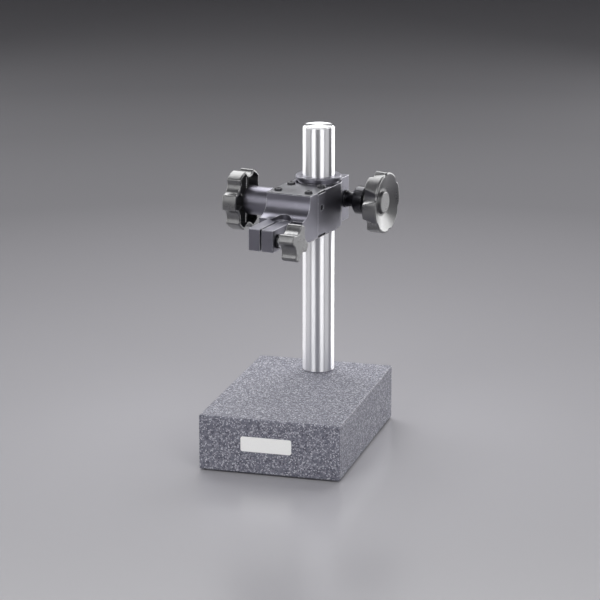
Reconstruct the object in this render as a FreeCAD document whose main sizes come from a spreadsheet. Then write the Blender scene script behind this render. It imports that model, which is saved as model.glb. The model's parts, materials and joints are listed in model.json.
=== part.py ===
import FreeCAD, Part
import math
import os
import re
import Sketcher

# A granite comparator stand, in millimetres. +Z is up, +X is to the right and +Y is to the rear.
# The origin is the centre of the stone's working surface. The gauge arm is built in its own frame, whose
# origin lies on the post's axis level with the arm's underside, with the gauge jaw towards -Y.
# ARM swings that frame about the post and lifts it to its height.

SIZES = (
    ("base_wide", 100, "stone block, left to right"),
    ("base_deep", 150, "stone block, front to rear"),
    ("stone_high", 39, "stone block, top to bottom"),
    ("stone_bevel", 0.8, "bevel along every edge of the stone"),
    ("foot_radius", 6, "rubber foot"),
    ("foot_high", 3, "rubber foot, sunk part and proud part"),
    ("foot_proud", 1, "how far a foot stands out below the stone"),
    ("foot_inset", 15, "foot's centre from the stone's sides"),
    ("label_wide", 36, "blank label plate"),
    ("label_high", 10.5, "blank label plate"),
    ("label_thick", 0.5, "blank label plate"),
    ("label_round", 1.5, "corner radius of the label plate"),
    ("label_across", -2, "label's centre from the middle of the front face"),
    ("label_down", "=stone_high / 2 - 1.5", "label's centre below the working surface"),
    ("post_radius", 11.5, "post"),
    ("post_high", 180, "post, above the stone"),
    ("post_inset", 21, "post's axis from the stone's rear face"),
    ("post_back", "=base_deep / 2 - post_inset", "post's axis behind the stone's centre"),
    ("post_bevel", 1.2, "bevel at the post's top edge"),
    ("bolt_radius", 5, "bolt that holds the post"),
    ("bolt_grip", 22, "length of bolt in the post"),
    ("bolt_head_radius", "=bolt_radius + 3", "bolt head"),
    ("bolt_head_high", 10, "bolt head"),
    ("bolt_socket", 8, "hexagon socket across flats"),
    ("bolt_washer_thick", 2, "washer under the bolt head"),
    ("sink_radius", "=bolt_head_radius + 4", "counterbore for the bolt head"),
    ("sink_deep", "=bolt_head_high + bolt_washer_thick + 2", "counterbore for the bolt head"),
    ("arm_swing", -10, "angle of the arm about the post, in degrees"),
    ("arm_low", 107, "arm's underside above the working surface"),
    ("arm_high", 33, "arm, over both leaf springs"),
    ("housing_wall", 3.25, "housing round the sleeve"),
    ("arm_half", "=bush_radius + running_gap + housing_wall", "half the arm's width, and its housing's radius"),
    ("leaf_thick", 0.6, "leaf spring"),
    ("leaf_slot", 1.2, "gap between a leaf spring and the tongue"),
    ("leaf_end", "=ring_radius + 1.5", "rear end of a leaf spring in front of the post's axis"),
    ("holder_deep", 12.8, "gauge holder's block, front to rear"),
    ("holder_front", "=holder_back + holder_deep", "front face of the gauge holder's block"),
    ("holder_back", "=clamp_front + tongue_long + tongue_gap", "rear face of the gauge holder's block"),
    ("tongue_long", 12.2, "tongue, in front of the clamp body"),
    ("tongue_gap", 0.3, "gap between the holder's block and the tongue"),
    ("clamp_front", "=rear_screws + 3.7", "where the tongue leaves the clamp body"),
    ("ear_half", 11.5, "half the width over the two clamp ears"),
    ("ear_back", "=clamp_back + 5.5", "rear end of the clamp ears"),
    ("slit", 1.5, "width of the slits in the housing and in the jaw"),
    ("boss_radius", "=bush_radius + 1", "raised boss on top of the housing"),
    ("boss_high", 1.6, "raised boss on top of the housing"),
    ("bush_wall", 1.95, "sleeve between post and housing"),
    ("bush_radius", "=post_radius + running_gap + bush_wall", "sleeve between post and housing"),
    ("bush_flange_radius", "=bush_radius + 3", "visible flange of the sleeve"),
    ("bush_flange_thick", 3.1, "visible flange of the sleeve"),
    ("bush_tail", 3, "sleeve below the housing"),
    ("ring_radius", "=bush_radius + 2", "retaining ring under the housing"),
    ("ring_groove", 0.6, "depth of the retaining ring's groove"),
    ("ring_mouth", 4, "half the gap in the retaining ring"),
    ("ring_thick", 1.2, "retaining ring under the housing"),
    ("running_gap", 0.05, "radial clearance of everything that turns or slides"),
    ("face_gap", 0.02, "clearance beside a washer that turns on a flat face"),
    ("way_gap", 0.3, "radial clearance of a through hole"),
    ("screw_radius", 1.5, "leaf spring screw"),
    ("screw_long", 6.6, "leaf spring screw below its head"),
    ("screw_head_radius", 3, "leaf spring screw"),
    ("screw_head_high", 1.8, "leaf spring screw"),
    ("screw_socket", 2, "hexagon socket across flats"),
    ("screw_inset", 5, "leaf spring screws from the arm's side"),
    ("screw_across", "=arm_half - screw_inset", "leaf spring screws from the arm's middle plane"),
    ("front_screws", "=holder_back + 4.7", "front row of leaf spring screws"),
    ("rear_screws", "=leaf_end + 3.5", "rear row of leaf spring screws"),
    ("shelf_high", 17, "top of the gauge jaw above the arm's underside"),
    ("shelf_lip", 3.4, "upright part of the holder's front face above the fillet"),
    ("shelf_round", "=arm_high - leaf_thick - shelf_high - shelf_lip", "concave fillet in front of the holder"),
    ("jaw_half", "=relief_radius + 2.4", "half the jaw's width"),
    ("jaw_low", 1.5, "jaw's underside above the arm's underside"),
    ("jaw_front", "=jaw_screw_forward + 8.4", "front end of the jaw"),
    ("stem_radius", 4, "bore for the gauge's stem"),
    ("stem_forward", "=holder_front + 11.6", "stem bore's axis in front of the post's axis"),
    ("relief_radius", "=stem_radius + 3", "shallow recess round the stem bore"),
    ("relief_deep", 2, "shallow recess round the stem bore"),
    ("jaw_screw_radius", 3, "screw that closes the jaw"),
    ("jaw_screw_forward", "=stem_forward + 23.7", "jaw screw's axis in front of the post's axis"),
    ("jaw_screw_up", 8, "jaw screw's axis above the arm's underside"),
    ("feed_forward", "=clamp_front + 5.8", "feed shaft's axis in front of the post's axis"),
    ("feed_up", "=arm_high / 2 + 4.3", "feed shaft's axis above the arm's underside"),
    ("feed_throw", 0.7, "how far the feed shaft's cam is off centre"),
    ("cam_radius", 3, "feed shaft's cam"),
    ("cam_wide", 7, "feed shaft's cam"),
    ("journal_radius", 4, "feed shaft in its bush and in the knob"),
    ("tip_radius", 2.2, "feed shaft's thin right end"),
    ("feed_bush_wall", 1.45, "bush in the left side of the tongue"),
    ("feed_bush_radius", "=journal_radius + running_gap + feed_bush_wall", "bush in the left side of the tongue"),
    ("pocket_left", "=cam_wide / 2 + 2.5", "cam pocket, left of the arm's middle plane"),
    ("pocket_right", "=cam_wide / 2 + 1.5", "cam pocket, right of the arm's middle plane"),
    ("pocket_half", "=fork_half + 1.5", "half the cam pocket's height"),
    ("pocket_back", "=feed_forward - 7.4", "rear wall of the cam pocket"),
    ("fork_half", 6.5, "half the cam fork's height"),
    ("fork_wide", 6, "cam fork"),
    ("fork_back", "=feed_forward - 5.6", "rear end of the cam fork"),
    ("spigot_radius", 3, "cam fork's spigot in the holder"),
    ("spigot_long", 8, "cam fork's spigot in the holder"),
    ("thrust_thick", 4.6, "washer between tongue and collar"),
    ("collar_radius", 10.3, "collar beside the feed knob"),
    ("collar_long", 19.1, "collar beside the feed knob"),
    ("grip_radius", 22, "feed knob and clamp knob"),
    ("grip_thick", 10.8, "feed knob and clamp knob"),
    ("grip_wall", 1.6, "wall round the feed knob's hollow back"),
    ("rib_thick", 1.4, "ribs in the feed knob's hollow back"),
    ("rib_low", 2.5, "ribs below the feed knob's back rim"),
    ("dish_deep", 4.2, "dish in the clamp knob's face"),
    ("grip_web", 3.2, "web of the feed knob's hollow back"),
    ("grip_skin", 2, "feed knob's skin over its insert"),
    ("grip_overlap", 0.3, "collar's end inside the feed knob's hollow back"),
    ("grub_radius", 2, "set screw in the collar"),
    ("grub_long", 5.5, "set screw in the collar"),
    ("insert_wall", 1.5, "metal insert in a knob"),
    ("insert_radius", "=journal_radius + insert_wall", "metal insert in a knob"),
    ("insert_long", 10, "metal insert in the clamp knob"),
    ("insert_spare", 1.5, "empty end of a knob's insert"),
    ("clamp_back", "=bush_radius + 8.5", "clamp screw's axis behind the post's axis"),
    ("clamp_up", "=arm_high / 2 - 0.5", "clamp screw's axis above the arm's underside"),
    ("clamp_thread", 3, "clamp screw in the ears"),
    ("clamp_shoulder", "=clamp_thread + 2.5", "clamp screw's shoulder"),
    ("hub_radius", 10.2, "metal hub beside the clamp knob"),
    ("hub_near", 8.5, "near end of the metal hub from the ear"),
    ("hub_far", 16.9, "far end of the metal hub from the ear"),
    ("neck_long", 4.9, "clamp knob's neck"),
    ("washer_thick", 1.2, "washer under the clamp screw and under the jaw screw"),
    ("washer_lip", 0.8, "how far a washer stands out beyond what it carries"),
    ("lobe_count", 6, "lobes of the two large knobs"),
    ("lobe_corner", 1.6, "corner radius of a lobe"),
    ("lobe_rim", 1.2, "rim radius of the two large knobs"),
    ("scallop_radius", 6.5, "scallops of the two large knobs"),
    ("scallop_deep", 4.2, "scallops of the two large knobs"),
    ("scallop_taper", 15, "narrowing of the clamp knob's scallops towards its face, in degrees"),
    ("feed_roll", -3.5, "turn of the feed knob about its axis, in degrees"),
    ("clamp_roll", 10, "turn of the clamp knob about its axis, in degrees"),
    ("delta_lobes", 4, "lobes of the jaw knob"),
    ("delta_radius", 12.9, "jaw knob"),
    ("delta_roll", 21, "turn of the jaw knob about its axis, in degrees"),
    ("delta_thick", 11.2, "jaw knob"),
    ("delta_scallop", 8, "scallops of the jaw knob"),
    ("delta_deep", 4.6, "scallops of the jaw knob"),
    ("foot_gap", 0.2, "radial clearance of a foot in its sink"),
    ("press_bevel", 0.01, "bevel of a bush that fills its seat"),
    ("thin_bevel", 0.1, "bevel of the clip and of the feed washer"),
    ("ring_bevel", 0.2, "bevel of the retaining ring and of the screw washers"),
    ("tube_bevel", 0.3, "bevel of the washer under the post"),
    ("collar_bevel", 0.6, "bevel of the collar and of the sleeve's flange"),
    ("hub_bevel", 1.2, "bevel of the clamp knob's hub"),
    ("point_bevel", 0.5, "bevel at the end of a screw, a shaft and the post"),
    ("ear_bevel", 0.8, "bevel of the clamp ears and of the bolt head"),
    ("jaw_bevel", 0.5, "bevel of the jaw's front end"),
    ("clip_groove", 0.8, "depth and width of the shaft clip's groove"),
    ("clip_lip", 1.6, "how far the shaft clip stands out of the shaft"),
    ("clip_mouth", 2.4, "half the gap in the shaft clip"),
    ("hole_spare", 0.6, "empty end of a screw hole"),
    ("spigot_spare", 0.5, "empty end of the spigot's seat"),
    ("delta_corner", 2.2, "corner radius of a jaw knob lobe"),
    ("delta_rim", 1, "rim radius of the jaw knob"),
    ("delta_near", 5.8, "near face of the jaw knob from the jaw"),
    ("delta_grip", 7, "length of screw in the jaw knob"),
)
WORDS = {alias for alias, _, _ in SIZES}

document = FreeCAD.newDocument("comparator_stand")
sheet = document.addObject("Spreadsheet::Sheet", "sizes")
for row, (alias, _, meaning) in enumerate(SIZES, start=1):
    sheet.set(f"A{row}", meaning)
    sheet.setAlias(f"B{row}", alias)
for row, (_, value, _) in enumerate(SIZES, start=1):
    sheet.set(f"B{row}", str(value))
document.recompute()

nodes = []


def linked(text):
    """An expression with each size's name pointed at the sheet."""
    return re.sub(r"[a-z]\w*", lambda word: f"sizes.{word[0]}" if word[0] in WORDS else word[0], str(text))


def number(text):
    return float(sheet.evalExpression(linked(text)))


def place_at(x=0, y=0, z=0, axis=(0, 0, 1), degrees=0):
    """The expression of a placement: a turn about an axis, then a move."""
    turn = "; ".join(str(part) for part in axis)
    return f"placement(vector({x}; {y}; {z}); rotation(vector({turn}); {degrees}))"


ARM = place_at(0, "post_back", "arm_low", degrees="arm_swing")


def bind(thing, **expressions):
    for name, text in expressions.items():
        thing.setExpression(name, linked(text))
    return thing


def node(thing, place=None):
    """Marks a finished sub-part, and puts it where the placement's expression says."""
    if place:
        thing.setExpression("Placement", linked(place))
    nodes.append(thing)
    return thing


# ---- plain solids and booleans ----


def block(name, low, high):
    """A box between two corners, each given as three expressions."""
    solid = document.addObject("Part::Box", name)
    spans = [f"({b}) - ({a})" for a, b in zip(low, high)]
    bind(solid, Length=spans[0], Width=spans[1], Height=spans[2], Placement=place_at(*low))
    return solid


ALONG = {"x": ((0, 1, 0), 90), "y": ((1, 0, 0), -90), "z": ((0, 0, 1), 0)}


def rod(name, radius, start, length, along="z"):
    """A cylinder from its start point, along one axis."""
    solid = document.addObject("Part::Cylinder", name)
    axis, degrees = ALONG[along]
    bind(solid, Radius=radius, Height=length, Placement=place_at(*start, axis=axis, degrees=degrees))
    return solid


def joined(name, pieces):
    whole = document.addObject("Part::MultiFuse", name)
    whole.Shapes = pieces
    whole.Refine = True
    return whole


def carved(name, base, tools):
    """The base without the tools."""
    result = document.addObject("Part::Cut", name)
    result.Base = base
    result.Tool = tools[0] if len(tools) == 1 else joined(name + "_tools", tools)
    result.Refine = True
    return result


def grouped(name, pieces):
    group = document.addObject("Part::Compound", name)
    group.Links = pieces
    return group


def bevelled(name, solid, size, wanted):
    """A copy of the solid with a bevel on each edge that wanted(edge) picks."""
    document.recompute()
    result = document.addObject("Part::Chamfer", name)
    result.Base = solid
    picked = [index for index, edge in enumerate(solid.Shape.Edges, start=1) if wanted(edge)]
    result.Edges = [(index, number(size), number(size)) for index in picked]
    return result


def upright(edge):
    """True for a straight edge along Z."""
    first, last = edge.Vertexes[0].Point, edge.Vertexes[-1].Point
    return math.hypot(last.x - first.x, last.y - first.y) < 1e-6 < abs(last.z - first.z)


def climbing(edge):
    """True for an edge that rises more than it runs."""
    first, last = edge.Vertexes[0].Point, edge.Vertexes[-1].Point
    return math.hypot(last.x - first.x, last.y - first.y) < abs(last.z - first.z)


# ---- bodies with sketches ----


def new_body(name):
    return document.addObject("PartDesign::Body", name)


def new_sketch(body, name, plane, lift="0"):
    sketch = body.newObject("Sketcher::SketchObject", name)
    support = next(part for part in body.Origin.OriginFeatures if part.Role == plane)
    sketch.AttachmentSupport = (support, "")
    sketch.MapMode = "FlatFace"
    sketch.setExpression("AttachmentOffset.Base.z", linked(lift))
    return sketch


def pin_down(sketch, element, point, x, y):
    """Holds one point of a sketch element at a place given by two expressions."""
    for kind, text in (("DistanceX", x), ("DistanceY", y)):
        index = sketch.addConstraint(Sketcher.Constraint(kind, -1, 1, element, point, number(text)))
        sketch.setExpression(f"Constraints[{index}]", linked(text))


def draw_outline(sketch, points):
    """A closed outline of straight lines through points given as pairs of expressions."""
    corners = [FreeCAD.Vector(number(x), number(y), 0) for x, y in points]
    count = len(corners)
    for index in range(count):
        sketch.addGeometry(Part.LineSegment(corners[index], corners[(index + 1) % count]))
    for index in range(count):
        sketch.addConstraint(Sketcher.Constraint("Coincident", index, 2, (index + 1) % count, 1))
    for index, (x, y) in enumerate(points):
        pin_down(sketch, index, 1, x, y)


def draw_circle(sketch, x, y, radius):
    centre = FreeCAD.Vector(number(x), number(y), 0)
    element = sketch.addGeometry(Part.Circle(centre, FreeCAD.Vector(0, 0, 1), number(radius)))
    pin_down(sketch, element, 3, x, y)
    index = sketch.addConstraint(Sketcher.Constraint("Radius", element, number(radius)))
    sketch.setExpression(f"Constraints[{index}]", linked(radius))


def turned(name, outline):
    """A body turned about Z from an outline of (radius, height) pairs."""
    body = new_body(name)
    sketch = new_sketch(body, name + "_outline", "XZ_Plane")
    draw_outline(sketch, outline)
    turn = body.newObject("PartDesign::Revolution", name + "_turn")
    turn.Profile = sketch
    turn.ReferenceAxis = (sketch, ["V_Axis"])
    turn.Angle = 360
    return body


def tube(name, outer, inner, start, end, bevel="tube_bevel"):
    """A ring or bush about Z, with its outer edges bevelled."""
    outline = (
        (inner, start),
        (f"({outer}) - ({bevel})", start),
        (outer, f"({start}) + ({bevel})"),
        (outer, f"({end}) - ({bevel})"),
        (f"({outer}) - ({bevel})", end),
        (inner, end),
    )
    return turned(name, outline)


def pocket(body, name, sketch, depth=None, downwards=True):
    """Cuts a sketch into the body, through everything if no depth is given."""
    cut = body.newObject("PartDesign::Pocket", name)
    cut.Profile = sketch
    cut.Reversed = not downwards
    if depth is None:
        cut.Type = "ThroughAll"
        cut.Midplane = True
    else:
        bind(cut, Length=depth)
    return cut


def hexagon(across):
    """The corners of a hexagon of the given width across its flats."""
    half, side = f"{across} / 2", f"{across} / 2 * tan(30)"
    point = f"{across} / 2 / cos(30)"
    return (
        (half, side),
        ("0", point),
        (f"-({half})", side),
        (f"-({half})", f"-({side})"),
        ("0", f"-({point})"),
        (half, f"-({side})"),
    )


def hexagon_socket(body, name, across, top, depth):
    sketch = new_sketch(body, name + "_sketch", "XY_Plane", top)
    draw_outline(sketch, hexagon(across))
    pocket(body, name, sketch, depth)


def lobed(name, outline, radius, lobes, scallop, deep, corner, rim, back=None, taper=None):
    """A knob about Z: a turned blank with scallops round it and softened corners and rims.

    With a taper, the scallops narrow upwards from the level of the knob's back.
    """
    body = turned(name, outline)
    sketch = new_sketch(body, name + "_scallop_sketch", "XY_Plane")
    draw_circle(sketch, f"{radius} + {scallop} - {deep}", "0", scallop)
    if taper is None:
        first = pocket(body, name + "_scallop", sketch)
    else:
        bind(sketch, AttachmentOffset=place_at(0, 0, back))
        first = pocket(body, name + "_scallop", sketch, "grip_thick + 1", downwards=False)
        bind(first, TaperAngle=f"-{taper}")
    pattern = body.newObject("PartDesign::PolarPattern", name + "_scallops")
    pattern.Originals = [first]
    pattern.Axis = (sketch, ["N_Axis"])
    pattern.Angle = 360
    bind(pattern, Occurrences=lobes)
    body.Tip = pattern
    document.recompute()
    reach = 0.8 * number(radius)

    def outer(edge):
        return all(math.hypot(vertex.X, vertex.Y) > reach for vertex in edge.Vertexes)

    corners = [edge for edge in pattern.Shape.Edges if climbing(edge) and outer(edge)]
    softened = soften(body, name + "_corners", pattern, corners, corner)
    heights = [vertex.Z for edge in corners for vertex in edge.Vertexes]
    levels = (min(heights), max(heights))

    def on_rim(edge):
        level = edge.CenterOfMass.z
        flat = max(vertex.Z for vertex in edge.Vertexes) - min(vertex.Z for vertex in edge.Vertexes) < 1e-6
        return flat and min(abs(level - wanted) for wanted in levels) < 1e-6

    rims = [
        edge
        for edge in softened.Shape.Edges
        if on_rim(edge) and math.hypot(edge.CenterOfMass.x, edge.CenterOfMass.y) > 0.5 * number(radius)
    ]
    soften(body, name + "_rims", softened, rims, rim)
    return body


def soften(body, name, feature, edges, radius):
    """Rounds edges of a feature."""
    numbers = []
    for index, edge in enumerate(feature.Shape.Edges, start=1):
        if any(edge.isSame(wanted) for wanted in edges):
            numbers.append(f"Edge{index}")
    fillet = body.newObject("PartDesign::Fillet", name)
    fillet.Base = (feature, numbers)
    bind(fillet, Radius=radius)
    document.recompute()
    return fillet


# ---- base ----


def stone():
    half_wide, half_deep = "base_wide / 2", "base_deep / 2"
    low = (f"-{half_wide}", f"-{half_deep}", "-stone_high")
    blank = block("stone_blank", low, (half_wide, half_deep, "0"))
    eased = bevelled("stone_eased", blank, "stone_bevel", lambda edge: True)
    sinks = [
        rod("bolt_sink", "sink_radius", ("0", "post_back", "-stone_high"), "sink_deep"),
        rod("bolt_way", "bolt_radius + point_bevel", ("0", "post_back", "-stone_high"), "stone_high"),
    ]
    for index, (x, y) in enumerate(foot_places()):
        mouth = (x, y, "-stone_high")
        sinks.append(rod(f"foot_sink_{index}", "foot_radius + foot_gap", mouth, "foot_high - foot_proud"))
    node(carved("granite_base", eased, sinks))


def foot_places():
    across, along = "(base_wide / 2 - foot_inset)", "(base_deep / 2 - foot_inset)"
    return [(f"{i} * {across}", f"{j} * {along}") for i in (-1, 1) for j in (-1, 1)]


def feet():
    discs = [
        rod(f"foot_{index}", "foot_radius", (x, y, "-stone_high - foot_proud"), "foot_high")
        for index, (x, y) in enumerate(foot_places())
    ]
    node(grouped("rubber_feet", discs))


def label():
    low = ("label_across - label_wide / 2", "-base_deep / 2 - label_thick", "-label_down - label_high / 2")
    high = ("label_across + label_wide / 2", "-base_deep / 2", "-label_down + label_high / 2")
    plate = block("label_blank", low, high)
    document.recompute()
    rounded = document.addObject("Part::Fillet", "label_plate")
    rounded.Base = plate
    depth = number("label_thick")
    edges = enumerate(plate.Shape.Edges, start=1)
    corners = [index for index, edge in edges if abs(edge.Length - depth) < 1e-6]
    rounded.Edges = [(index, number("label_round"), number("label_round")) for index in corners]
    node(rounded)


def post():
    outline = (
        ("bolt_radius", "0"),
        ("post_radius - point_bevel", "0"),
        ("post_radius", "point_bevel"),
        ("post_radius", "post_high - post_bevel"),
        ("post_radius - post_bevel", "post_high"),
        ("0", "post_high"),
        ("0", "bolt_grip + 4"),
        ("bolt_radius", "bolt_grip + 2"),
    )
    node(turned("post", outline), place_at("0", "post_back", "0"))


def post_bolt():
    shank = "stone_high - sink_deep + bolt_washer_thick + bolt_grip"
    outline = (
        ("0", "-bolt_head_high"),
        ("bolt_head_radius - ear_bevel", "-bolt_head_high"),
        ("bolt_head_radius", "-bolt_head_high + ear_bevel"),
        ("bolt_head_radius", "0"),
        ("bolt_radius", "0"),
        ("bolt_radius", f"{shank} - 1"),
        ("bolt_radius - 1", shank),
        ("0", shank),
    )
    bolt = turned("post_bolt", outline)
    sketch = new_sketch(bolt, "post_bolt_socket_sketch", "XY_Plane", "-bolt_head_high")
    draw_outline(sketch, hexagon("bolt_socket"))
    pocket(bolt, "post_bolt_socket", sketch, "bolt_head_high / 2", downwards=False)
    seat = place_at("0", "post_back", "-stone_high + sink_deep - bolt_washer_thick")
    node(bolt, seat)
    ring = tube("post_washer", "sink_radius - 1.5", "bolt_radius + way_gap", "0", "bolt_washer_thick")
    node(ring, seat)


# ---- sleeve on the post ----


def post_bush():
    roof = "arm_high - leaf_thick + boss_high"
    floor = "leaf_thick - bush_tail"
    groove_low, groove_high = "leaf_thick - ring_thick", "leaf_thick"
    inner = "post_radius + running_gap"
    outline = (
        (inner, floor),
        ("bush_radius - 0.4", floor),
        ("bush_radius", f"{floor} + 0.4"),
        ("bush_radius", groove_low),
        ("bush_radius - ring_groove", groove_low),
        ("bush_radius - ring_groove", groove_high),
        ("bush_radius", groove_high),
        ("bush_radius", roof),
        ("bush_flange_radius", roof),
        ("bush_flange_radius", f"{roof} + bush_flange_thick - collar_bevel"),
        ("bush_flange_radius - collar_bevel", f"{roof} + bush_flange_thick"),
        (f"{inner} + 1", f"{roof} + bush_flange_thick"),
        (inner, f"{roof} + bush_flange_thick - 1"),
    )
    sleeve = turned("post_bush_blank", outline)
    gap = block(
        "post_bush_gap",
        ("-slit / 2", "0", f"{floor} - 1"),
        ("slit / 2", "bush_flange_radius + 1", f"{roof} + bush_flange_thick + 1"),
    )
    node(carved("post_bush", sleeve, [gap]), ARM)
    inner = "bush_radius - ring_groove"
    ring = tube("bush_ring_blank", "ring_radius", inner, groove_low, groove_high, "ring_bevel")
    opening = block(
        "bush_ring_gap",
        ("-ring_mouth", "0", f"{groove_low} - 1"),
        ("ring_mouth", "ring_radius + 1", f"{groove_high} + 1"),
    )
    node(carved("bush_ring", ring, [opening]), ARM)


# ---- clamp body, leaf springs and their screws ----

BODY_LOW = "leaf_thick"
BODY_HIGH = "arm_high - leaf_thick"


def screw_places(forward):
    """Where the leaf spring screws of one row enter: above and below, right and left."""
    return [(f"{side} * screw_across", f"-{forward}", top) for side in (-1, 1) for top in (True, False)]


def screw_holes(name, forward):
    holes = []
    for index, (x, y, top) in enumerate(screw_places(forward)):
        start = f"{BODY_HIGH} - screw_long - hole_spare" if top else BODY_LOW
        holes.append(rod(f"{name}_{index}", "screw_radius", (x, y, start), "screw_long + hole_spare"))
    return holes


def leaf_screws(name, forward):
    screws = []
    for index, (x, y, top) in enumerate(screw_places(forward)):
        outline = (
            ("0", "-screw_long"),
            ("screw_radius - 0.4", "-screw_long"),
            ("screw_radius", "-screw_long + 0.4"),
            ("screw_radius", "0"),
            ("screw_head_radius", "0"),
            ("screw_head_radius", "screw_head_high * 0.35"),
            ("screw_head_radius * 0.92", "screw_head_high * 0.65"),
            ("screw_head_radius * 0.76", "screw_head_high * 0.88"),
            ("screw_head_radius * 0.55", "screw_head_high"),
            ("0", "screw_head_high"),
        )
        screw = turned(f"{name}_{index}", outline)
        depth = "screw_head_high * 0.6"
        hexagon_socket(screw, f"{name}_{index}_socket", "screw_socket", "screw_head_high", depth)
        seat = place_at(x, y, "arm_high") if top else place_at(x, y, "0", axis=(1, 0, 0), degrees=180)
        screw.setExpression("Placement", linked(seat))
        screws.append(screw)
    node(grouped(name, screws), ARM)


def leaf(name, bottom):
    plate = block(
        name + "_blank",
        ("-arm_half", "-holder_front + 0.2", bottom),
        ("arm_half", "-leaf_end", f"{bottom} + leaf_thick"),
    )
    holes = []
    for row, forward in (("front", "front_screws"), ("rear", "rear_screws")):
        for side in (-1, 1):
            start = (f"{side} * screw_across", f"-{forward}", bottom)
            holes.append(rod(f"{name}_{row}_hole_{side + 1}", "screw_radius + 0.15", start, "leaf_thick"))
    node(carved(name, plate, holes), ARM)


def clamp_body():
    solids = [
        block("clamp_front_block", ("-arm_half", "-clamp_front", BODY_LOW), ("arm_half", "0", BODY_HIGH)),
        block(
            "clamp_tongue",
            ("-arm_half", "-holder_back + tongue_gap", f"{BODY_LOW} + leaf_slot"),
            ("arm_half", "-clamp_front", f"{BODY_HIGH} - leaf_slot"),
        ),
        rod("clamp_housing", "arm_half", ("0", "0", BODY_LOW), f"{BODY_HIGH} - {BODY_LOW}"),
        bevelled(
            "clamp_ears",
            block("clamp_ear_block", ("-ear_half", "0", BODY_LOW), ("ear_half", "ear_back", BODY_HIGH)),
            "ear_bevel",
            lambda edge: upright(edge) and edge.CenterOfMass.y > 1,
        ),
        rod("clamp_boss", "boss_radius", ("0", "0", BODY_HIGH), "boss_high"),
    ]
    shaft = ("-feed_forward", "feed_up")
    screw = ("clamp_back", "clamp_up")
    tools = [
        rod("housing_bore", "bush_radius + running_gap", ("0", "0", "0"), "arm_high + 5"),
        block("housing_slit", ("-slit / 2", "0", "0"), ("slit / 2", "ear_back + 1", "arm_high + 5")),
        block(
            "cam_pocket",
            ("-pocket_left", "-holder_back", "feed_up - pocket_half"),
            ("pocket_right", "-pocket_back", "feed_up + pocket_half"),
        ),
        rod("feed_bush_seat", "feed_bush_radius", ("-arm_half", *shaft), "arm_half - pocket_left", "x"),
        rod("feed_tip_bore", "tip_radius + running_gap", ("0", *shaft), "arm_half", "x"),
        rod("ear_thread", "clamp_thread + running_gap", ("-ear_half", *screw), "ear_half", "x"),
        rod("ear_way", "clamp_thread + way_gap", ("0", *screw), "ear_half", "x"),
    ]
    whole = joined("clamp_body_whole", solids)
    node(carved("clamp_body", whole, tools + screw_holes("rear_hole", "rear_screws")), ARM)


# ---- gauge holder ----


def gauge_holder():
    shelf_toe = "-holder_front - shelf_round"
    jaw_tools_high = "arm_high + 1"
    frame = [
        block("holder_block", ("-arm_half", shelf_toe, BODY_LOW), ("arm_half", "-holder_back", BODY_HIGH)),
        bevelled(
            "holder_jaw",
            block(
                "holder_jaw_block",
                ("-jaw_half", "-jaw_front", "jaw_low"),
                ("jaw_half", "-holder_front", "shelf_high"),
            ),
            "jaw_bevel",
            lambda edge: edge.CenterOfMass.y < number("-jaw_front") + 1,
        ),
    ]
    turn = ("-arm_half", shelf_toe, "shelf_high + shelf_round")
    stem = ("0", "-stem_forward", "0")
    screw = ("-jaw_screw_forward", "jaw_screw_up")
    tools = [
        rod("shelf_sweep", "shelf_round", turn, "2 * arm_half", "x"),
        block(
            "shelf_clearance",
            ("-arm_half", shelf_toe, "shelf_high + shelf_round"),
            ("arm_half", "-holder_front", jaw_tools_high),
        ),
        rod("stem_way", "stem_radius", stem, "arm_high"),
        rod("stem_relief", "relief_radius", ("0", "-stem_forward", "shelf_high - relief_deep"), "arm_high"),
        block("jaw_slit", ("-slit / 2", "-jaw_front - 1", "0"), ("slit / 2", "-stem_forward", "arm_high")),
        rod("jaw_thread", "jaw_screw_radius + running_gap", ("-jaw_half", *screw), "jaw_half", "x"),
        rod("jaw_way", "jaw_screw_radius + way_gap", ("0", *screw), "jaw_half", "x"),
        rod(
            "spigot_seat",
            "spigot_radius",
            ("0", "-holder_back - spigot_long - spigot_spare", "feed_up"),
            "spigot_long + spigot_spare",
            "y",
        ),
    ]
    whole = joined("gauge_holder_whole", frame)
    node(carved("gauge_holder", whole, tools + screw_holes("front_hole", "front_screws")), ARM)


def cam_fork():
    slot_half = "cam_radius + running_gap"
    head = block(
        "cam_fork_head",
        ("-fork_wide / 2", "-holder_back", "feed_up - fork_half"),
        ("fork_wide / 2", "-fork_back", "feed_up + fork_half"),
    )
    spigot_end = ("0", "-holder_back - spigot_long", "feed_up")
    spigot = rod("cam_fork_spigot", "spigot_radius", spigot_end, "spigot_long", "y")
    slot = block(
        "cam_fork_slot",
        ("-fork_wide", f"-feed_forward - {slot_half}", f"feed_up - ({slot_half})"),
        ("fork_wide", "-fork_back + 1", f"feed_up + {slot_half}"),
    )
    node(carved("cam_fork", joined("cam_fork_whole", [head, spigot]), [slot]), ARM)


# ---- turning pieces, built about Z and laid along the arm's X ----


def across_arm(forward, up, roll=0):
    """Lays Z along the arm's X, at the given distance in front of the post and above the underside."""
    lay = place_at("0", f"-({forward})", up, axis=(0, 1, 0), degrees=90)
    return f"{ARM} * {lay} * {place_at(degrees=roll)}"


FEED = across_arm("feed_forward", "feed_up")
COLLAR_INNER = "-arm_half - thrust_thick"
COLLAR_OUTER = "-arm_half - thrust_thick - collar_long"
GRIP_BACK = f"{COLLAR_OUTER} + grip_overlap"
GRIP_FACE = f"{GRIP_BACK} - grip_thick"
INSERT_END = f"{GRIP_FACE} + grip_skin"
SHAFT_END = f"{INSERT_END} + insert_spare"


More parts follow.
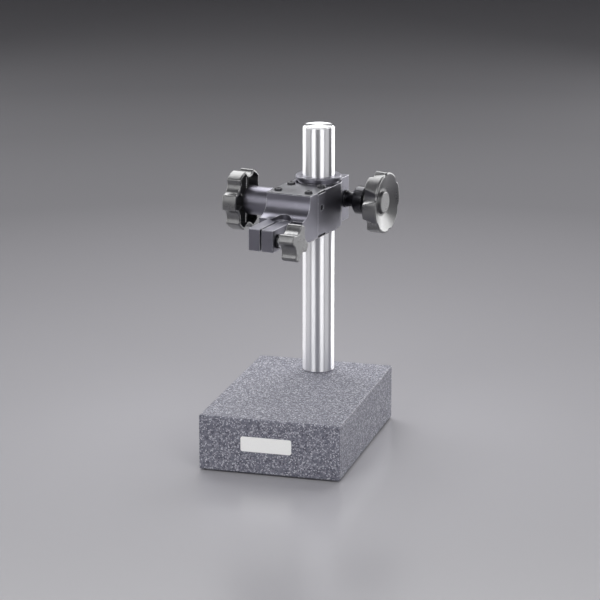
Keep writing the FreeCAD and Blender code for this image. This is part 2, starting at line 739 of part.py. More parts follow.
def feed_shaft():
    cam_half = "cam_wide / 2"
    clip_low, clip_high = "-pocket_left", "-pocket_left + clip_groove"
    outline = (
        ("0", SHAFT_END),
        ("journal_radius - point_bevel", SHAFT_END),
        ("journal_radius", f"{SHAFT_END} + point_bevel"),
        ("journal_radius", clip_low),
        ("journal_radius - clip_groove", clip_low),
        ("journal_radius - clip_groove", clip_high),
        ("journal_radius", clip_high),
        ("journal_radius", f"-{cam_half} - 0.2"),
        ("tip_radius", f"-{cam_half} - 0.2"),
        ("tip_radius", "arm_half - 0.8"),
        ("tip_radius - 0.3", "arm_half - 0.5"),
        ("0", "arm_half - 0.5"),
    )
    shaft = turned("eccentric_shaft", outline)
    sketch = new_sketch(shaft, "cam_sketch", "XY_Plane", f"-{cam_half} - 0.2")
    draw_circle(sketch, "0", "feed_throw", "cam_radius")
    cam = shaft.newObject("PartDesign::Pad", "cam")
    cam.Profile = sketch
    bind(cam, Length="cam_wide")
    node(shaft, FEED)

    outer, inner = "journal_radius + clip_lip", "journal_radius - clip_groove"
    clip = tube("shaft_clip_blank", outer, inner, clip_low, clip_high, "thin_bevel")
    mouth = block(
        "shaft_clip_gap",
        ("0", "-clip_mouth", f"{clip_low} - 1"),
        ("journal_radius + clip_lip + 1", "clip_mouth", f"{clip_high} + 1"),
    )
    node(carved("shaft_clip", clip, [mouth]), FEED)


def feed_bearing():
    inner = "journal_radius + running_gap"
    bush = tube("feed_bush", "feed_bush_radius", inner, "-arm_half", "-pocket_left", "press_bevel")
    node(bush, FEED)
    washer = tube("feed_washer", "collar_radius", inner, COLLAR_INNER, "-arm_half - face_gap", "thin_bevel")
    node(washer, FEED)


def feed_collar():
    bore = "journal_radius"
    ring = tube("feed_collar_blank", "collar_radius", bore, COLLAR_OUTER, COLLAR_INNER, "collar_bevel")
    middle = f"({COLLAR_OUTER} + {COLLAR_INNER}) / 2"
    way = rod("grub_way", "grub_radius", ("0", "0", middle), "collar_radius + 1", "x")
    node(carved("feed_collar", ring, [way]), FEED)
    outline = (
        ("0", "0"),
        ("grub_radius - collar_bevel", "0"),
        ("grub_radius", "collar_bevel"),
        ("grub_radius", "grub_long"),
        ("0", "grub_long"),
    )
    grub = turned("feed_grub_screw", outline)
    hexagon_socket(grub, "grub_socket", "grub_radius", "grub_long", "grub_long / 2")
    seat = place_at("journal_radius", "0", middle, axis=(0, 1, 0), degrees=90)
    node(grub, f"{FEED} * {seat}")


def large_knob(name, outline, back=None, taper=None):
    return lobed(
        name,
        outline,
        "grip_radius",
        "lobe_count",
        "scallop_radius",
        "scallop_deep",
        "lobe_corner",
        "lobe_rim",
        back,
        taper,
    )


def knob_hollow(floor, back):
    """The room behind the feed knob's web: round its hub, inside its scalloped wall, between its ribs."""
    high = f"({back}) - ({floor}) + 1"
    room = rod("feed_knob_room", "grip_radius - grip_wall", ("0", "0", floor), high)
    keep = [rod("feed_knob_hub", "insert_radius + 3", ("0", "0", f"({floor}) - 1"), f"{high} + 2")]
    far = "(grip_radius + scallop_radius - scallop_deep)"
    for index in range(round(number("lobe_count"))):
        turn = f"{index} * 360 / lobe_count"
        centre = (f"{far} * cos({turn})", f"{far} * sin({turn})", f"({floor}) - 1")
        keep.append(rod(f"feed_knob_wall_{index}", "scallop_radius + grip_wall", centre, f"{high} + 2"))
        rib = document.addObject("Part::Box", f"feed_knob_rib_{index}")
        place = f"{place_at(degrees=turn)} * {place_at(0, '-rib_thick / 2', f'({floor}) - 1')}"
        bind(rib, Length="grip_radius", Width="rib_thick", Height=f"{high} - rib_low", Placement=place)
        keep.append(rib)
    return carved("feed_knob_hollow", room, keep)


def feed_knob():
    face, back = GRIP_FACE, GRIP_BACK
    outline = (
        ("0", face),
        ("grip_radius * 0.3", face),
        ("grip_radius * 0.36", f"{face} + 1"),
        ("grip_radius * 0.66", f"{face} + 1"),
        ("grip_radius * 0.74", face),
        ("grip_radius", face),
        ("grip_radius", back),
        ("insert_radius + 3", back),
        ("insert_radius + 3", COLLAR_OUTER),
        ("insert_radius", COLLAR_OUTER),
        ("insert_radius", INSERT_END),
        ("0", INSERT_END),
    )
    blank = large_knob("feed_knob_blank", outline)
    hollow = knob_hollow(f"{face} + grip_web", back)
    node(carved("feed_knob", blank, [hollow]), across_arm("feed_forward", "feed_up", roll="feed_roll"))
    bore = "journal_radius"
    insert = tube("feed_knob_insert", "insert_radius", bore, INSERT_END, COLLAR_OUTER, "press_bevel")
    node(insert, FEED)


CLAMP = across_arm("-clamp_back", "clamp_up", roll="clamp_roll")
SHOULDER_START = "ear_half + washer_thick"
HUB_START = "ear_half + hub_near"
HUB_END = "ear_half + hub_far"


def clamp_drive():
    back = f"{HUB_END} + neck_long"
    face = f"{back} + grip_thick"
    insert_end = f"{HUB_END} + insert_long"
    stud_end = f"{insert_end} - insert_spare"
    stud = (
        ("0", "-ear_half + 1"),
        ("clamp_thread - point_bevel", "-ear_half + 1"),
        ("clamp_thread", "-ear_half + 1 + point_bevel"),
        ("clamp_thread", SHOULDER_START),
        ("clamp_shoulder", SHOULDER_START),
        ("clamp_shoulder", HUB_START),
        ("journal_radius", HUB_START),
        ("journal_radius", stud_end),
        ("0", stud_end),
    )
    node(turned("clamp_stud", stud), CLAMP)
    outer, inner = "clamp_shoulder + washer_lip", "clamp_thread + running_gap"
    washer = tube("clamp_washer", outer, inner, "ear_half + face_gap", SHOULDER_START, "ring_bevel")
    node(washer, CLAMP)
    node(tube("clamp_hub", "hub_radius", "journal_radius", HUB_START, HUB_END, "hub_bevel"), CLAMP)
    outline = (
        ("insert_radius", HUB_END),
        ("hub_radius - 2", HUB_END),
        ("hub_radius - 2", back),
        ("grip_radius", back),
        ("grip_radius", face),
        ("0", face),
        ("0", insert_end),
        ("insert_radius", insert_end),
    )
    dish = (
        ("0", f"{face} + 1"),
        ("grip_radius * 0.93", f"{face} + 1"),
        ("grip_radius * 0.93", face),
        ("grip_radius * 0.46", f"{face} - dish_deep"),
        ("grip_radius * 0.38", f"{face} - dish_deep"),
        ("grip_radius * 0.355", f"{face} - dish_deep * 0.48"),
        ("grip_radius * 0.33", f"{face} - dish_deep * 0.4"),
        ("0", f"{face} - dish_deep * 0.4"),
    )
    blank = large_knob("clamp_knob_blank", outline, back, "scallop_taper")
    node(carved("clamp_knob", blank, [turned("clamp_knob_dish", dish)]), CLAMP)
    insert = tube("clamp_knob_insert", "insert_radius", "journal_radius", HUB_END, insert_end, "press_bevel")
    node(insert, CLAMP)


JAW = across_arm("jaw_screw_forward", "jaw_screw_up", roll="delta_roll")


def jaw_drive():
    neck, grip = "jaw_half + washer_thick", "jaw_half + delta_near"
    screw = (
        ("0", "-jaw_half + 0.8"),
        ("jaw_screw_radius - point_bevel", "-jaw_half + 0.8"),
        ("jaw_screw_radius", "-jaw_half + 0.8 + point_bevel"),
        ("jaw_screw_radius", neck),
        ("jaw_screw_radius + 1", neck),
        ("jaw_screw_radius + 1", grip),
        ("jaw_screw_radius", grip),
        ("jaw_screw_radius", f"{grip} + delta_grip"),
        ("0", f"{grip} + delta_grip"),
    )
    node(turned("jaw_screw", screw), JAW)
    inner = "jaw_screw_radius + running_gap"
    washer = tube("jaw_washer", "jaw_screw_radius + 2", inner, "jaw_half + face_gap", neck, "ring_bevel")
    node(washer, JAW)
    outline = (
        ("jaw_screw_radius", grip),
        ("delta_radius", grip),
        ("delta_radius", f"{grip} + delta_thick"),
        ("0", f"{grip} + delta_thick"),
        ("0", f"{grip} + delta_grip + point_bevel"),
        ("jaw_screw_radius", f"{grip} + delta_grip + point_bevel"),
    )
    knob = lobed(
        "jaw_knob",
        outline,
        "delta_radius",
        "delta_lobes",
        "delta_scallop",
        "delta_deep",
        "delta_corner",
        "delta_rim",
    )
    node(knob, JAW)


def check():
    """Stops on any failed object, and on any sub-part whose shape is not sound."""
    failed = [thing.Label for thing in document.Objects if {"Invalid", "Error"} & set(thing.State)]
    if failed:
        raise RuntimeError("failed objects: " + ", ".join(failed))
    for thing in nodes:
        if thing.Shape.isNull() or not thing.Shape.isValid() or not thing.Shape.Solids:
            raise RuntimeError("unsound shape: " + thing.Label)


def export():
    os.makedirs("parts", exist_ok=True)
    for thing in nodes:
        thing.Shape.exportStep(f"parts/{thing.Label}.step")
        print(f"{thing.Label}: {len(thing.Shape.Solids)} solid(s), {thing.Shape.Volume:.1f} mm3")


stone()
feet()
label()
post()
post_bolt()
post_bush()
clamp_body()
leaf("top_leaf", BODY_HIGH)
leaf("bottom_leaf", "0")
leaf_screws("rear_leaf_screws", "rear_screws")
leaf_screws("front_leaf_screws", "front_screws")
gauge_holder()
cam_fork()
feed_shaft()
feed_bearing()
feed_collar()
feed_knob()
clamp_drive()
jaw_drive()
document.recompute()
check()
export()
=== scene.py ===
import json
import math

import bmesh
import bpy
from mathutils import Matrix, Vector


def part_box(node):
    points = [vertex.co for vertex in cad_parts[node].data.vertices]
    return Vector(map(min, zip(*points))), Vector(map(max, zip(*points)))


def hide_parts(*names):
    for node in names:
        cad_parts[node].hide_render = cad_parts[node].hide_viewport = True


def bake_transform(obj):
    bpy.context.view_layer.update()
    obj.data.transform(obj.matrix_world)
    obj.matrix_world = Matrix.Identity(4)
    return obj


# A granite comparator stand: the finishes of the CAD frame's pieces, the studio round them and the camera.

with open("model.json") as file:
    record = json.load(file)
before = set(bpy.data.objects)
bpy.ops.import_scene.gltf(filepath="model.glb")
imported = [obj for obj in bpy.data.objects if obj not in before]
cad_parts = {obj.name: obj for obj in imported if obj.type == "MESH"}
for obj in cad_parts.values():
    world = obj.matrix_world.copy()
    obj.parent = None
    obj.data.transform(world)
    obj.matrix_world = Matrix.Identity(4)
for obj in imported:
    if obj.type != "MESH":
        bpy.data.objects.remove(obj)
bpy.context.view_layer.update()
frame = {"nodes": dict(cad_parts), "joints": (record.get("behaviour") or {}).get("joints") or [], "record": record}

MM = 0.001
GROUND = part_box("rubber_feet")[0].z

# The part of a leaf spring that bends, in millimetres in front of the post's axis, and its strips.
LEAF_FREE = (24.2, 36.7)
LEAF_STRIPS = 10

# The cove: radius of its flat floor, radius of the bend, height, steps in the bend and round the axis.
COVE_FLAT = 2.6
COVE_CURVE = 1.0
COVE_HEIGHT = 2.8
COVE_STEPS = 16
COVE_TURNS = 96
# Its painted shade at stops from the middle out to the fade radius: a painted falloff of light, darker away from
# the object and paler again towards the far wall.
COVE_FADE = 2.4
COVE_STOPS = (0.0, 0.10, 0.20, 0.32, 0.467, 0.575, 0.75, 0.99)
COVE_PAINTED_FALLOFF = (0.41, 0.315, 0.238, 0.158, 0.137, 0.14, 0.20, 0.34)
COVE_GREEN, COVE_BLUE = 0.985, 1.045

CAMERA_AZIMUTH = math.radians(15.562)
CAMERA_ELEVATION = math.radians(15.295)
CAMERA_DISTANCE = 1798 * MM
CAMERA_TARGET = Vector((1.29, 0.0, 65.59)) * MM
CAMERA_LENS = 154.0
CAMERA_SENSOR = 36.0
CAMERA_CLIP = (0.05, 20.0)

LIGHT_AIM = (0.0, 0.03, 0.08)
# Each lamp's azimuth from the camera's, elevation, distance, width and height, and power.
# Angles are in degrees, lengths in metres and power in watts.
SOFTBOXES = {
    "left_strip": (-38, 25, 1.3, (0.66, 1.0), 5.6),
    "right_strip": (27, 25, 1.3, (0.62, 1.0), 5.4),
    "front_overhead": (-5, 58, 1.4, (1.2, 0.5), 3.5),
    "left_fill": (-80, 20, 1.4, (0.9, 1.0), 2.4),
    "right_fill": (64, 20, 1.4, (0.8, 1.0), 2.2),
    "left_rear": (-130, 14, 1.4, (1.4, 1.0), 8.5),
    "right_rear": (132, 8, 1.4, (1.3, 1.0), 15),
    "rear_overhead": (180, 50, 1.4, (1.4, 1.1), 20),
}
ROOM_COLOUR = (0.60, 0.60, 0.62, 1)
ROOM_STRENGTH = 0.22

# Granite: how many crystals, grains and clumps lie along a metre, then its colours.
CRYSTAL_SCALE = 950.0
GRAIN_SCALE = 1500.0
CLUMP_SCALE = 420.0
GRANITE_LIGHT_BODY = (0.172, 0.173, 0.212, 1)
GRANITE_DARK_BODY = (0.118, 0.119, 0.154, 1)
GRANITE_DARK_GRAIN = (0.080, 0.081, 0.108, 1)
GRANITE_PALE_GRAIN = (0.275, 0.277, 0.32, 1)
GRANITE_FLECK = (0.48, 0.48, 0.53, 1)

ALLOY_BLACK = (0.172, 0.169, 0.200, 1)
# The black alloy's pale edge colour is a painted highlight.
ALLOY_EDGE_HIGHLIGHT = (0.72, 0.72, 0.76, 1)
PLASTIC_BLACK = (0.020, 0.020, 0.023, 1)
PLASTIC_EDGE = (0.11, 0.11, 0.12, 1)
CHROME = (0.93, 0.93, 0.95, 1)

# A colour Mix node's sockets by number, as its names repeat for each kind of data.
MIX_MASK, MIX_FIRST, MIX_SECOND, MIX_RESULT = 0, 6, 7, 2

# ---- node helpers ----


def new_group(name, inputs, outputs):
    """A shader node group with named sockets, each given as name: (type, default)."""
    group = bpy.data.node_groups.new(name, "ShaderNodeTree")
    for direction, sockets in (("INPUT", inputs), ("OUTPUT", outputs)):
        for label, (kind, default) in sockets.items():
            socket = group.interface.new_socket(name=label, in_out=direction, socket_type=kind)
            if default is not None:
                socket.default_value = default
    return group


def add(tree, kind, **settings):
    """A node with its properties and, for keys that name a socket, its input values."""
    node = tree.nodes.new(kind)
    for key, value in settings.items():
        if hasattr(node, key):
            setattr(node, key, value)
        else:
            node.inputs[key.replace("_", " ")].default_value = value
    return node


def wire(tree, *pairs):
    """Joins each output socket to its input socket."""
    for source, target in pairs:
        tree.links.new(source, target)


def math_node(tree, operation, first, second):
    """A math node on two values, each a number or a socket."""
    node = tree.nodes.new("ShaderNodeMath")
    node.operation = operation
    for socket, value in zip(node.inputs, (first, second)):
        if isinstance(value, (int, float)):
            socket.default_value = value
        else:
            tree.links.new(value, socket)
    return node.outputs[0]


def blend_colours(tree, mask, first, second):
    """A mix of two colours by a mask, where each colour is a socket or four numbers."""
    node = tree.nodes.new("ShaderNodeMix")
    node.data_type = "RGBA"
    tree.links.new(mask, node.inputs[MIX_MASK])
    for socket, value in ((node.inputs[MIX_FIRST], first), (node.inputs[MIX_SECOND], second)):
        if isinstance(value, tuple):
            socket.default_value = value
        else:
            tree.links.new(value, socket)
    return node.outputs[MIX_RESULT]


def ramp(tree, value, low, high, start=0.0, end=1.0):
    """Maps a value's low-to-high range on to start-to-end, clamped."""
    node = add(tree, "ShaderNodeMapRange")
    tree.links.new(value, node.inputs[0])
    for socket, number in zip(node.inputs[1:5], (low, high, start, end)):
        socket.default_value = number
    return node.outputs[0]


def placed(tree, stretch=(1, 1, 1)):
    """Object coordinates, scaled along each axis."""
    coordinates = tree.nodes.new("ShaderNodeTexCoord")
    mapping = tree.nodes.new("ShaderNodeMapping")
    mapping.inputs["Scale"].default_value = stretch
    tree.links.new(coordinates.outputs["Object"], mapping.inputs["Vector"])
    return mapping.outputs["Vector"]


# ---- effects that several finishes share ----


def make_fine_grain():
    """A grain of a given size in metres: its height, and a roughness that varies about a value."""
    group = new_group(
        "fine_grain",
        {
            "Size": ("NodeSocketFloat", 0.001),
            "Roughness": ("NodeSocketFloat", 0.4),
            "Spread": ("NodeSocketFloat", 0.1),
            "Vector": ("NodeSocketVector", None),
        },
        {"Height": ("NodeSocketFloat", None), "Roughness": ("NodeSocketFloat", None)},
    )
    inside = add(group, "NodeGroupInput")
    outside = add(group, "NodeGroupOutput")
    frequency = math_node(group, "DIVIDE", 1.0, inside.outputs["Size"])
    noise = add(group, "ShaderNodeTexNoise", Detail=3.0, Roughness=0.6)
    cloud = add(group, "ShaderNodeTexNoise", Scale=90.0, Detail=2.0)
    wire(
        group,
        (inside.outputs["Vector"], noise.inputs["Vector"]),
        (inside.outputs["Vector"], cloud.inputs["Vector"]),
        (frequency, noise.inputs["Scale"]),
        (noise.outputs["Fac"], outside.inputs["Height"]),
    )
    both = math_node(group, "ADD", noise.outputs["Fac"], cloud.outputs["Fac"])
    swing = math_node(group, "MULTIPLY", math_node(group, "SUBTRACT", both, 1.0), inside.outputs["Spread"])
    wire(group, (math_node(group, "ADD", inside.outputs["Roughness"], swing), outside.inputs["Roughness"]))
    return group


def make_edge_wear_and_highlight():
    """A mask along a piece's outside edges, broken up by noise, and a normal that rounds them. Where a finish
    lightens its colour by this mask it paints edge wear, and on the black alloy and spring steel a painted
    highlight.
    """
    group = new_group(
        "edge_wear_and_highlight",
        {"Width": ("NodeSocketFloat", 0.0004), "Amount": ("NodeSocketFloat", 1.0)},
        {"Mask": ("NodeSocketFloat", None), "Normal": ("NodeSocketVector", None)},
    )
    inside = add(group, "NodeGroupInput")
    outside = add(group, "NodeGroupOutput")
    bevel = add(group, "ShaderNodeBevel", samples=6)
    geometry = add(group, "ShaderNodeNewGeometry")
    likeness = add(group, "ShaderNodeVectorMath", operation="DOT_PRODUCT")
    noise = add(group, "ShaderNodeTexNoise", Scale=700.0, Detail=2.0)
    wire(
        group,
        (inside.outputs["Width"], bevel.inputs["Radius"]),
        (bevel.outputs["Normal"], likeness.inputs[0]),
        (geometry.outputs["Normal"], likeness.inputs[1]),
        (placed(group), noise.inputs["Vector"]),
        (bevel.outputs["Normal"], outside.inputs["Normal"]),
    )
    edge = ramp(group, likeness.outputs["Value"], 0.995, 0.85)
    broken = math_node(group, "MULTIPLY", edge, ramp(group, noise.outputs["Fac"], 0.3, 0.6, 0.35, 1.0))
    wire(group, (math_node(group, "MULTIPLY", broken, inside.outputs["Amount"]), outside.inputs["Mask"]))
    return group


FINE_GRAIN = make_fine_grain()
EDGE_WEAR_AND_HIGHLIGHT = make_edge_wear_and_highlight()


def use_group(tree, group, **values):
    """A node that uses a group, with its inputs given by name as numbers or sockets."""
    node = tree.nodes.new("ShaderNodeGroup")
    node.node_tree = group
    for key, value in values.items():
        socket = node.inputs[key]
        if isinstance(value, (int, float)):
            socket.default_value = value
        else:
            tree.links.new(value, socket)
    return node


def new_material(name, **surface):
    """A material whose shader's plain values are given by socket name."""
    material = bpy.data.materials.new(name)
    material.use_nodes = True
    tree = material.node_tree
    shader = tree.nodes["Principled BSDF"]
    for key, value in surface.items():
        shader.inputs[key.replace("_", " ")].default_value = value
    return material, tree, shader


def add_bump(tree, shader, height, depth, strength, normal):
    """Bump on a shader: a height of a given depth in metres, on top of a normal."""
    bump = tree.nodes.new("ShaderNodeBump")
    bump.inputs["Distance"].default_value = depth
    bump.inputs["Strength"].default_value = strength
    tree.links.new(height, bump.inputs["Height"])
    tree.links.new(normal, bump.inputs["Normal"])
    tree.links.new(bump.outputs["Normal"], shader.inputs["Normal"])


def dress_shader(tree, shader, colour, roughness):
    """Joins a colour and a roughness to a shader."""
    wire(tree, (colour, shader.inputs["Base Color"]), (roughness, shader.inputs["Roughness"]))


# ---- finishes ----


def make_granite():
    """Fine ground granite: a blue-grey body with darker grains and many small pale flecks."""
    material, tree, shader = new_material("granite", Specular_IOR_Level=0.4)
    where = placed(tree)
    crystals = add(tree, "ShaderNodeTexVoronoi", Scale=CRYSTAL_SCALE, Randomness=1.0)
    grains = add(tree, "ShaderNodeTexVoronoi", Scale=GRAIN_SCALE, Randomness=1.0)
    clumps = add(tree, "ShaderNodeTexNoise", Scale=CLUMP_SCALE, Detail=4.0, Roughness=0.7)
    for texture in (crystals, grains, clumps):
        tree.links.new(where, texture.inputs["Vector"])
    shade = add(tree, "ShaderNodeSeparateColor")
    fleck = add(tree, "ShaderNodeSeparateColor")
    wire(tree, (crystals.outputs["Color"], shade.inputs[0]), (grains.outputs["Color"], fleck.inputs[0]))
    body = blend_colours(
        tree,
        ramp(tree, clumps.outputs["Fac"], 0.36, 0.64),
        GRANITE_DARK_BODY,
        GRANITE_LIGHT_BODY,
    )
    dark = blend_colours(tree, ramp(tree, shade.outputs[0], 0.70, 0.84), body, GRANITE_DARK_GRAIN)
    pale = blend_colours(tree, ramp(tree, shade.outputs[1], 0.80, 0.90), dark, GRANITE_PALE_GRAIN)
    bright = blend_colours(tree, ramp(tree, fleck.outputs[2], 0.86, 0.93), pale, GRANITE_FLECK)
    dress_shader(tree, shader, bright, ramp(tree, fleck.outputs[1], 0.0, 1.0, 0.42, 0.66))
    edges = use_group(tree, EDGE_WEAR_AND_HIGHLIGHT, Width=0.0006)
    add_bump(tree, shader, clumps.outputs["Fac"], 0.00008, 0.5, edges.outputs["Normal"])
    return material


def make_black_alloy():
    """Satin black anodised metal, a little bluish, with a painted highlight along its edges."""
    material, tree, shader = new_material("black_alloy", Metallic=1.0, Specular_IOR_Level=0.5)
    grain = use_group(tree, FINE_GRAIN, Size=0.00025, Roughness=0.34, Spread=0.2, Vector=placed(tree))
    edges = use_group(tree, EDGE_WEAR_AND_HIGHLIGHT, Width=0.0006, Amount=0.9)
    colour = blend_colours(tree, edges.outputs["Mask"], ALLOY_BLACK, ALLOY_EDGE_HIGHLIGHT)
    dress_shader(tree, shader, colour, grain.outputs["Roughness"])
    add_bump(tree, shader, grain.outputs["Height"], 0.00003, 0.5, edges.outputs["Normal"])
    return material


def make_black_plastic():
    """Moulded black plastic with a fine spark-eroded grain."""
    material, tree, shader = new_material("black_plastic", Specular_IOR_Level=0.9, IOR=1.9)
    grain = use_group(tree, FINE_GRAIN, Size=0.0005, Roughness=0.31, Spread=0.22, Vector=placed(tree))
    edges = use_group(tree, EDGE_WEAR_AND_HIGHLIGHT, Width=0.0005, Amount=0.5)
    colour = blend_colours(tree, edges.outputs["Mask"], PLASTIC_BLACK, PLASTIC_EDGE)
    dress_shader(tree, shader, colour, grain.outputs["Roughness"])
    add_bump(tree, shader, grain.outputs["Height"], 0.00008, 0.6, edges.outputs["Normal"])
    return material


def make_chrome():
    """Hard chrome over a ground bar: the rings left by grinding spread reflections along the bar."""
    material, tree, shader = new_material("chrome", Metallic=1.0, Base_Color=CHROME)
    shader.inputs["Anisotropic"].default_value = 0.95
    shader.inputs["Anisotropic Rotation"].default_value = 0.25
    rings = placed(tree, (40, 40, 6000))
    grind = add(tree, "ShaderNodeTexNoise", Scale=1.0, Detail=2.0)
    round_bar = add(tree, "ShaderNodeTangent", direction_type="RADIAL", axis="Z")
    wire(
        tree,
        (rings, grind.inputs["Vector"]),
        (ramp(tree, grind.outputs["Fac"], 0.3, 0.7, 0.29, 0.33), shader.inputs["Roughness"]),
        (round_bar.outputs["Tangent"], shader.inputs["Tangent"]),
    )
    return material


def make_metal(name, colour, edge, roughness, edge_width=0.0002):
    """A plain metal finish with a fine grain and edges of another colour."""
    material, tree, shader = new_material(name, Metallic=1.0)
    grain = use_group(tree, FINE_GRAIN, Size=0.0003, Roughness=roughness, Spread=0.15, Vector=placed(tree))
    edges = use_group(tree, EDGE_WEAR_AND_HIGHLIGHT, Width=edge_width, Amount=0.8)
    mixed = blend_colours(tree, edges.outputs["Mask"], (*colour, 1), (*edge, 1))
    dress_shader(tree, shader, mixed, grain.outputs["Roughness"])
    add_bump(tree, shader, grain.outputs["Height"], 0.00001, 0.4, edges.outputs["Normal"])
    return material


def make_soft(name, colour, roughness, grain_size):
    """Rubber or printed plastic: no metal, a soft gloss and a fine grain."""
    material, tree, shader = new_material(name)
    where = placed(tree)
    grain = use_group(tree, FINE_GRAIN, Size=grain_size, Roughness=roughness, Spread=0.1, Vector=where)
    edges = use_group(tree, EDGE_WEAR_AND_HIGHLIGHT, Width=0.0003, Amount=0.4)
    shade = tuple(0.8 * part for part in colour)
    mixed = blend_colours(tree, grain.outputs["Height"], (*shade, 1), (*colour, 1))
    dress_shader(tree, shader, mixed, grain.outputs["Roughness"])
    add_bump(tree, shader, grain.outputs["Height"], 0.00002, 0.4, edges.outputs["Normal"])
    return material


FINISHES = {
    "granite": make_granite(),
    "chrome": make_chrome(),
    "black_alloy": make_black_alloy(),
    "black_plastic": make_black_plastic(),
    "black_oxide": make_metal("black_oxide", (0.055, 0.055, 0.06), (0.30, 0.30, 0.32), 0.26),
    # The spring steel's pale edge colour, on a wider edge band, is a painted highlight along the leaf springs'
    # edges.
    "spring_steel": make_metal("spring_steel", (0.17, 0.17, 0.185), (0.8, 0.8, 0.82), 0.34, 0.0004),
    "steel": make_metal("steel", (0.56, 0.57, 0.58), (0.7, 0.7, 0.72), 0.22),
    "brass": make_metal("brass", (0.72, 0.53, 0.24), (0.8, 0.62, 0.34), 0.3),
    "bronze": make_metal("bronze", (0.60, 0.38, 0.20), (0.7, 0.48, 0.28), 0.42),
    "rubber": make_soft("rubber", (0.03, 0.03, 0.03), 0.75, 0.0006),
    "label": make_soft("label", (0.97, 0.97, 0.96), 0.35, 0.0004),
}


def dress():
    """Gives every CAD piece the finish that the record names for it."""
    for part in frame["record"]["subparts"]:
        piece = frame["nodes"][part["node"]]
        piece.data.materials.clear()
        piece.data.materials.append(FINISHES[part["material_slot"]])


def arm_forward():
    """The level direction from the post to the jaw, at right angles to the clamp screw."""
    across = Vector(next(joint["axis"] for joint in frame["joints"] if joint["name"] == "clamp_turn"))
    forward = across.cross(Vector((0, 0, 1))).normalized()
    if forward.y > 0:
        forward = -forward
    return forward


def cut_into_strips(shape, start, end, direction):
    """Cuts a mesh across at even steps from start to end."""
    for step in range(LEAF_STRIPS + 1):
        cut = start.lerp(end, step / LEAF_STRIPS)
        everything = shape.verts[:] + shape.edges[:] + shape.faces[:]
        bmesh.ops.bisect_plane(shape, geom=everything, plane_co=cut, plane_no=direction)


def make_leaf_spring(node):
    """A leaf spring cut across into strips along its free length between arm and holder."""
    forward = arm_forward()
    post_low, post_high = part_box("post")
    axis = (post_low + post_high) / 2
    start, end = (axis + forward * (reach * MM) for reach in LEAF_FREE)
    source = frame["nodes"][node]
    shape = bmesh.new()
    shape.from_mesh(source.data)
    shape.transform(source.matrix_world)
    cut_into_strips(shape, start, end, forward)
    mesh = bpy.data.meshes.new(node + "_spring")
    shape.to_mesh(mesh)
    shape.free()
    mesh.shade_flat()
    mesh.materials.append(FINISHES["spring_steel"])
    spring = bpy.data.objects.new(node + "_spring", mesh)
    bpy.context.scene.collection.objects.link(spring)
    low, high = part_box(node)
    start.z = end.z = (low.z + high.z) / 2
    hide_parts(node)
    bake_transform(spring)


# ---- studio ----


def make_cove_material():
    """A pale grey with painted shade that darkens evenly with distance from the object, the same from any side,
    and pales again towards the far wall.
    """
    material, tree, shader = new_material("cove", Roughness=0.24, Specular_IOR_Level=0.4)
    coordinates = add(tree, "ShaderNodeTexCoord")
    flat = add(tree, "ShaderNodeVectorMath", operation="MULTIPLY")
    flat.inputs[1].default_value = (1.0, 1.0, 0.0)
    reach = add(tree, "ShaderNodeVectorMath", operation="LENGTH")
    painted_falloff = add(tree, "ShaderNodeValToRGB")
    wire(
        tree,
        (coordinates.outputs["Object"], flat.inputs[0]),
        (flat.outputs["Vector"], reach.inputs[0]),
        (ramp(tree, reach.outputs["Value"], 0.0, COVE_FADE), painted_falloff.inputs["Fac"]),
        (painted_falloff.outputs["Color"], shader.inputs["Base Color"]),
    )
    stops = painted_falloff.color_ramp.elements
    for place, shade in zip(COVE_STOPS, COVE_PAINTED_FALLOFF):
        stop = stops[0] if place == 0.0 else stops.new(place)
        stop.color = (shade, shade * COVE_GREEN, shade * COVE_BLUE, 1)
    stops.remove(stops[-1])
    return material


def cove_profile():
    """The cove's outline from its middle to its rim, as (radius, height)."""
    profile = [(0.0, 0.0), (COVE_FLAT, 0.0)]
    for step in range(1, COVE_STEPS + 1):
        angle = math.pi / 2 * step / COVE_STEPS
        out = COVE_FLAT + COVE_CURVE * math.sin(angle)
        up = COVE_CURVE - COVE_CURVE * math.cos(angle)
        profile.append((out, up))
    profile.append((COVE_FLAT + COVE_CURVE, COVE_HEIGHT))
    return profile


def make_cove():
    """A round floor that curves up into a wall on every side, one surface of revolution."""
    shell = bmesh.new()
    rim = [shell.verts.new((out, 0.0, up)) for out, up in cove_profile()]
    edges = [shell.edges.new(pair) for pair in zip(rim, rim[1:])]
    bmesh.ops.spin(
        shell,
        geom=rim + edges,
        axis=(0, 0, 1),
        cent=(0, 0, 0),
        angle=2 * math.pi,
        steps=COVE_TURNS,
        use_merge=True,
    )
    bmesh.ops.recalc_face_normals(shell, faces=shell.faces)
    mesh = bpy.data.meshes.new("cove")
    shell.to_mesh(mesh)
    shell.free()
    mesh.shade_smooth()
    mesh.materials.append(make_cove_material())
    cove = bpy.data.objects.new("cove", mesh)
    cove.location.z = GROUND
    bpy.context.scene.collection.objects.link(cove)


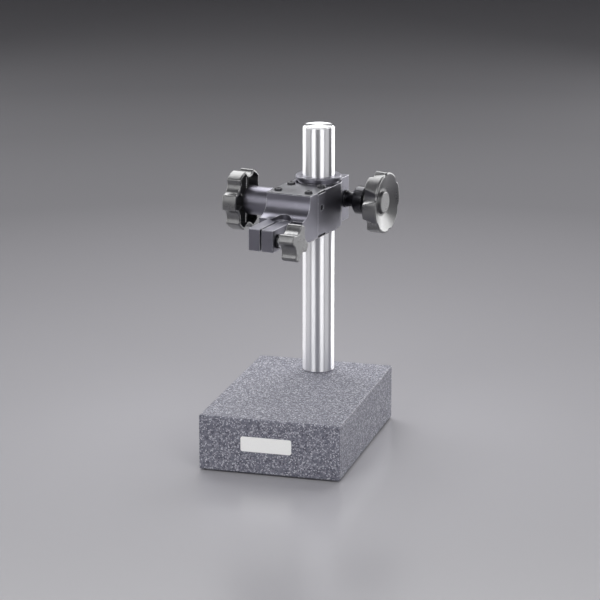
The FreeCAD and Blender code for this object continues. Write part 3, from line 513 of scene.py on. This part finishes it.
def add_softbox(name, place, aim, size, power):
    """A rectangular area lamp at a place, turned to a point and hidden from the camera."""
    lamp = bpy.data.lights.new(name, "AREA")
    lamp.shape = "RECTANGLE"
    lamp.size, lamp.size_y = size
    lamp.energy = power
    holder = bpy.data.objects.new(name, lamp)
    holder.location = place
    holder.rotation_euler = (Vector(aim) - Vector(place)).to_track_quat("-Z", "Y").to_euler()
    holder.visible_camera = False
    bpy.context.scene.collection.objects.link(holder)


def around(azimuth, elevation, distance):
    """A place at a distance from the object. The azimuth starts at the camera's, positive to the right."""
    turn = CAMERA_AZIMUTH + math.radians(azimuth)
    rise = math.radians(elevation)
    flat = distance * math.cos(rise)
    return Vector((flat * math.sin(turn), -flat * math.cos(turn), distance * math.sin(rise)))


def light_studio():
    """The lamps round the object, in a dim grey room."""
    for name, (azimuth, elevation, distance, size, power) in SOFTBOXES.items():
        add_softbox(name, around(azimuth, elevation, distance), LIGHT_AIM, size, power)
    world = bpy.data.worlds.new("room")
    bpy.context.scene.world = world
    world.use_nodes = True
    backing = world.node_tree.nodes["Background"]
    backing.inputs["Color"].default_value = ROOM_COLOUR
    backing.inputs["Strength"].default_value = ROOM_STRENGTH


# ---- camera ----


def place_camera():
    """The camera looks at the target from its azimuth, elevation and distance."""
    lens = bpy.data.cameras.new("camera")
    lens.lens = CAMERA_LENS
    lens.sensor_width = CAMERA_SENSOR
    lens.clip_start, lens.clip_end = CAMERA_CLIP
    camera = bpy.data.objects.new("camera", lens)
    back = Vector(
        (
            math.sin(CAMERA_AZIMUTH) * math.cos(CAMERA_ELEVATION),
            -math.cos(CAMERA_AZIMUTH) * math.cos(CAMERA_ELEVATION),
            math.sin(CAMERA_ELEVATION),
        )
    )
    camera.location = CAMERA_TARGET + back * CAMERA_DISTANCE
    camera.rotation_euler = (-back).to_track_quat("-Z", "Y").to_euler()
    bpy.context.scene.collection.objects.link(camera)
    bpy.context.scene.camera = camera


dress()
make_leaf_spring("top_leaf")
make_leaf_spring("bottom_leaf")
make_cove()
light_studio()
place_camera()
bpy.context.scene.view_settings.view_transform = "Standard"
